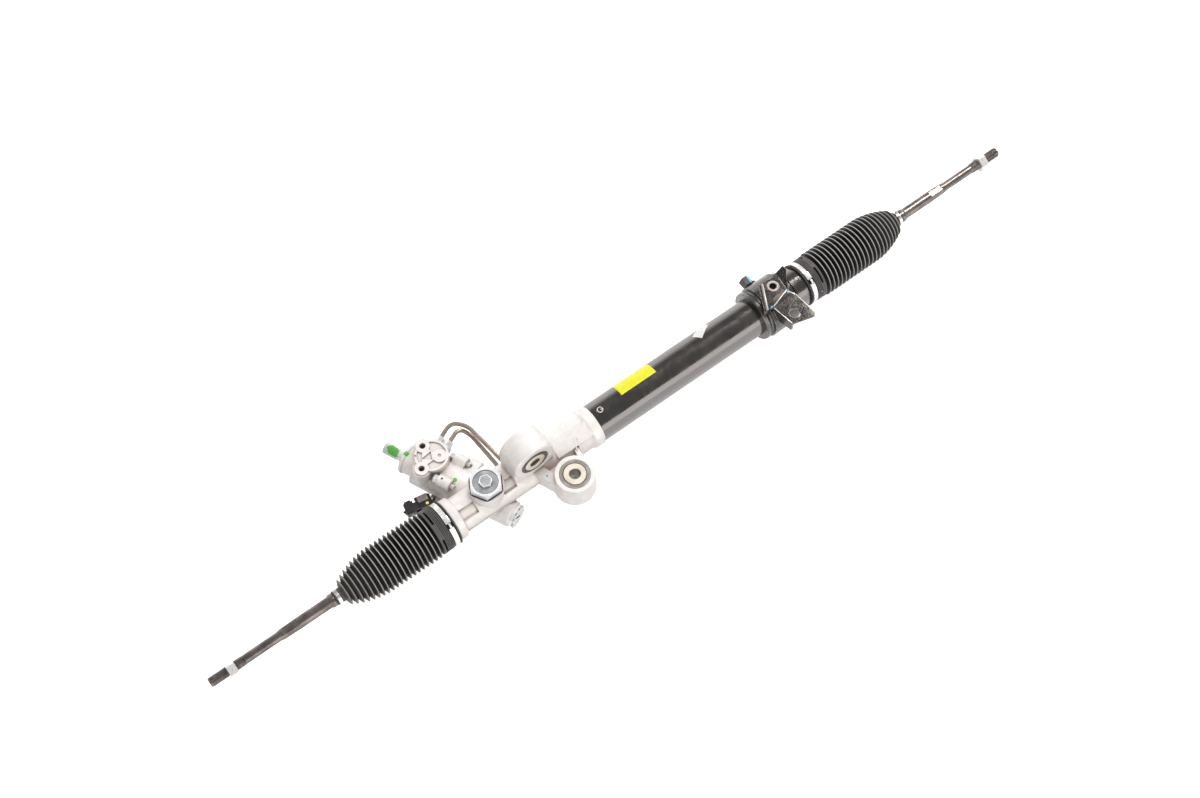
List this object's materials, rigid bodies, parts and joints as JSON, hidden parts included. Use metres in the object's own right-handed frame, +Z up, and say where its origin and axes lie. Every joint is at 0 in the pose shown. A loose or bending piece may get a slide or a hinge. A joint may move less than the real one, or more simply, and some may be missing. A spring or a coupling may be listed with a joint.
{
  "type": "steering rack",
  "caption": "Hydraulic rack and pinion steering gear with skewed pinion, rotary valve, power cylinder, bellows, inner tie rods and bush mounts.",
  "frame": {"origin": "middle of the lower bush's bolt hole", "axes": "+X along the rack towards the power cylinder, +Z up along the lower bush's bolt hole and the yoke adjuster, -Y on the side of the lower bush"},
  "size_m": [1.251, 0.2213, 0.1235],
  "materials": {
    "cast_aluminium": "as-cast, bead-blasted",
    "tube_paint": "gloss black",
    "bracket_paint": "satin black",
    "boot_rubber": "matte moulded",
    "isolator_rubber": "matte moulded",
    "seal_rubber": "matte",
    "bush_rubber": "matte moulded",
    "zinc_steel": "zinc plated",
    "nut_steel": "zinc plated, turned",
    "rack_steel": "ground and polished",
    "rod_steel": "phosphated forging",
    "line_steel": "satin brown-grey coating",
    "bolt_steel": "phosphated",
    "spring_steel": "oiled",
    "bearing_plastic": "moulded",
    "connector_plastic": "moulded",
    "ring_plastic": "moulded"
  },
  "bodies": {
    "housing": {"pinion_housing": "cast_aluminium", "valve_housing": "cast_aluminium", "cylinder_tube": "tube_paint", "end_bulkhead": "tube_paint", "inner_rack_seal": "seal_rubber", "outer_rack_seal": "seal_rubber", "rack_bush": "bearing_plastic", "lower_bearing": "rack_steel", "upper_bearing": "rack_steel", "pinion_seal": "seal_rubber", "input_bearing": "rack_steel", "input_seal": "seal_rubber", "pinion_cap": "nut_steel", "valve_bolts": "zinc_steel", "yoke": "bearing_plastic", "yoke_spring": "spring_steel", "yoke_plug": "nut_steel", "lock_nut": "nut_steel", "upper_bush_shell": "nut_steel", "upper_bush_rubber": "bush_rubber", "upper_bush_sleeve": "zinc_steel", "lower_bush_shell": "nut_steel", "lower_bush_rubber": "bush_rubber", "lower_bush_sleeve": "zinc_steel", "tube_isolator": "isolator_rubber", "mount_bracket": "bracket_paint", "bracket_bolt": "bolt_steel", "left_bellows": "boot_rubber", "right_bellows": "boot_rubber", "left_big_clamp": "zinc_steel", "right_big_clamp": "zinc_steel", "long_hydraulic_line": "line_steel", "short_hydraulic_line": "line_steel", "line_nuts": "zinc_steel", "connector_bracket": "bolt_steel", "connector_plug": "connector_plastic", "connector_socket": "connector_plastic"},
    "rack": {"rack_bar": "rack_steel", "piston": "rack_steel", "piston_ring": "ring_plastic", "lock_washers": "bolt_steel", "left_ball_socket": "rod_steel", "right_ball_socket": "rod_steel"},
    "pinion": {"pinion": "rack_steel", "pinion_nut": "bolt_steel", "valve_sleeve": "rack_steel", "valve_rings": "ring_plastic", "torsion_bar": "rack_steel"},
    "input": {"input_shaft": "rack_steel"},
    "left_seat": {"left_ball_seat": "bearing_plastic"},
    "left_rod": {"left_tie_rod": "rod_steel", "left_jam_nut": "zinc_steel", "left_small_clip": "zinc_steel"},
    "right_seat": {"right_ball_seat": "bearing_plastic"},
    "right_rod": {"right_tie_rod": "rod_steel", "right_jam_nut": "zinc_steel", "right_small_clip": "zinc_steel"}
  },
  "joints": [
    {"name": "rack_slide", "type": "slide", "parent": "housing", "child": "rack", "axis": [1, 0, 0], "range_m": [-0.078, 0.066], "deforming": ["left_bellows", "right_bellows"]},
    {"name": "pinion_spin", "type": "hinge", "parent": "housing", "child": "pinion", "pos_m": [-0.096, 0.0526, -0.031], "axis": [-0.4035, 0.915, 0], "range_deg": [-601.5, 509]},
    {"name": "valve_twist", "type": "hinge", "parent": "pinion", "child": "input", "pos_m": [-0.096, 0.0526, -0.031], "axis": [-0.4035, 0.915, 0], "range_deg": [-4, 4], "stiffness_Nm_per_rad": 90},
    {"name": "left_ball_tilt", "type": "hinge", "parent": "rack", "child": "left_seat", "pos_m": [-0.2495, 0.0526, -0.013], "axis": [0, 1, 0], "range_deg": [-18, 18]},
    {"name": "left_ball_swing", "type": "hinge", "parent": "left_seat", "child": "left_rod", "pos_m": [-0.2495, 0.0526, -0.013], "axis": [0, 0, 1], "range_deg": [-18, 18]},
    {"name": "right_ball_tilt", "type": "hinge", "parent": "rack", "child": "right_seat", "pos_m": [0.5105, 0.0526, -0.013], "axis": [0, 1, 0], "range_deg": [-18, 18]},
    {"name": "right_ball_swing", "type": "hinge", "parent": "right_seat", "child": "right_rod", "pos_m": [0.5105, 0.0526, -0.013], "axis": [0, 0, 1], "range_deg": [-18, 18]}
  ],
  "couplings": [
    {"joint": "pinion_spin", "follows": "rack_slide", "rad_per_m": 134.45}
  ]
}
